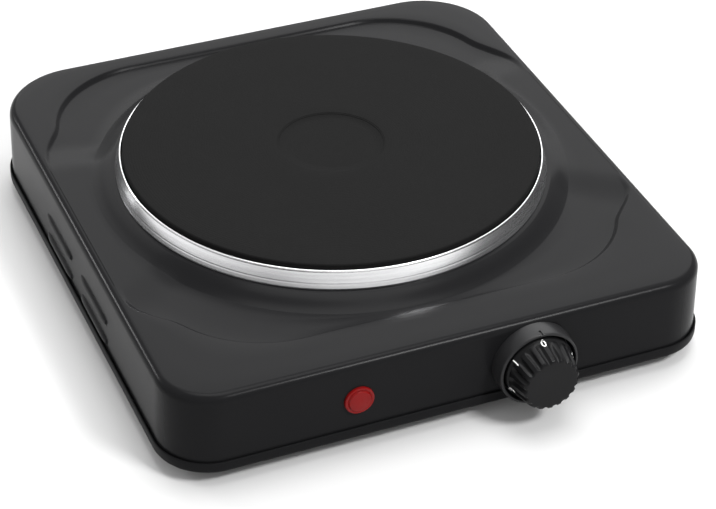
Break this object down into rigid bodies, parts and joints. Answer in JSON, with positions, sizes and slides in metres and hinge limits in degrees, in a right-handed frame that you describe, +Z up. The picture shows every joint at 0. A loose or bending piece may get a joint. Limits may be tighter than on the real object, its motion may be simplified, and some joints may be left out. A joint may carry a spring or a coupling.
{
  "type": "single electric hot plate",
  "caption": "Free-standing electric hot plate: round cast-iron plate with a steel trim ring in a low pressed-steel housing, with a rotary heat control and a lamp.",
  "frame": {"origin": "on the surface that the feet stand on, in the middle of the whole outline", "axes": "+Z up, -Y towards the knob, +X to the right seen from the knob side"},
  "size_m": [0.246, 0.2852, 0.0571],
  "materials": {
    "black_enamel": "satin black stove enamel on pressed steel",
    "tray_paint": "satin black paint on pressed steel",
    "cast_iron": "cast iron with a baked black heat-proof coat",
    "polished_steel": "polished stainless steel, spun",
    "zinc_steel": "zinc-plated steel",
    "bright_steel": "turned bright steel",
    "knob_plastic": "black heat-proof plastic, satin, moulded",
    "bezel_plastic": "grey-black heat-proof plastic, moulded",
    "red_lens": "clear red plastic, moulded",
    "white_ceramic": "unglazed steatite",
    "mineral_fill": "pressed magnesium oxide powder",
    "resistance_wire": "oxidised resistance wire",
    "brass": "turned and stamped brass",
    "bronze_spring": "phosphor bronze strip",
    "rubber": "moulded black rubber",
    "black_nylon": "black nylon, moulded",
    "white_nylon": "natural nylon, moulded",
    "lamp_glass": "clear glass bulb",
    "brown_cover": "brown wire insulation",
    "blue_cover": "blue wire insulation",
    "grey_cover": "grey wire insulation",
    "green_cover": "green and yellow wire insulation",
    "red_cover": "red wire insulation"
  },
  "bodies": {
    "root": {"housing": "black_enamel", "base_tray": "tray_paint", "rubber_feet": "rubber", "foot_screws": "zinc_steel", "corner_posts": "zinc_steel", "hot_plate": "cast_iron", "trim_ring": "polished_steel", "heating_element": "resistance_wire", "insulation": "mineral_fill", "plate_cover": "zinc_steel", "centre_stud": "zinc_steel", "clamp_bridge": "zinc_steel", "stud_washer": "zinc_steel", "stud_nut": "zinc_steel", "heat_shield": "zinc_steel", "shield_rivets": "bright_steel", "plate_terminals": "white_ceramic", "thermal_cutout": "white_ceramic", "thermostat_bracket": "zinc_steel", "shaft_bush": "brass", "bush_nut": "zinc_steel", "arm_pin": "bright_steel", "ceramic_stack": "white_ceramic", "fixed_contact": "brass", "contact_insulator": "white_ceramic", "bimetal_strip": "bright_steel", "bezel_ring": "bezel_plastic", "lamp_lens": "red_lens", "lamp_clip": "zinc_steel", "lamp_plug": "white_nylon", "neon_bulb": "lamp_glass", "cord_gland": "black_nylon", "gland_nut": "black_nylon", "terminal_strip": "white_nylon", "terminal_screws": "brass", "earth_screw": "brass", "earth_tag": "brass", "live_wire": "brown_cover", "neutral_wire": "blue_cover", "switched_wire": "grey_cover", "earth_wire": "green_cover", "lamp_wire_left": "red_cover", "lamp_wire_right": "red_cover"},
    "knob": {"knob": "knob_plastic", "knob_clip": "bright_steel", "control_shaft": "bright_steel"},
    "plunger": {"plunger": "white_ceramic"},
    "contact_arm": {"contact_arm": "bronze_spring"}
  },
  "joints": [
    {"name": "knob_turn", "type": "hinge", "parent": "root", "child": "knob", "pos_m": [0.0348, -0.12315, 0.0243], "axis": [0, 1, 0], "range_deg": [0, 285]},
    {"name": "plunger_slide", "type": "slide", "parent": "root", "child": "plunger", "axis": [0, -1, 0], "range_m": [0, 0.0011]},
    {"name": "contact_swing", "type": "hinge", "parent": "root", "child": "contact_arm", "pos_m": [0.0238, -0.09735, 0.0243], "axis": [0, 0, -1], "range_deg": [0, 6]}
  ],
  "couplings": [
    {"joint": "plunger_slide", "follows": "knob_turn", "m_per_rad": 0.000221},
    {"joint": "contact_swing", "follows": "knob_turn", "ratio": 0.0201}
  ]
}
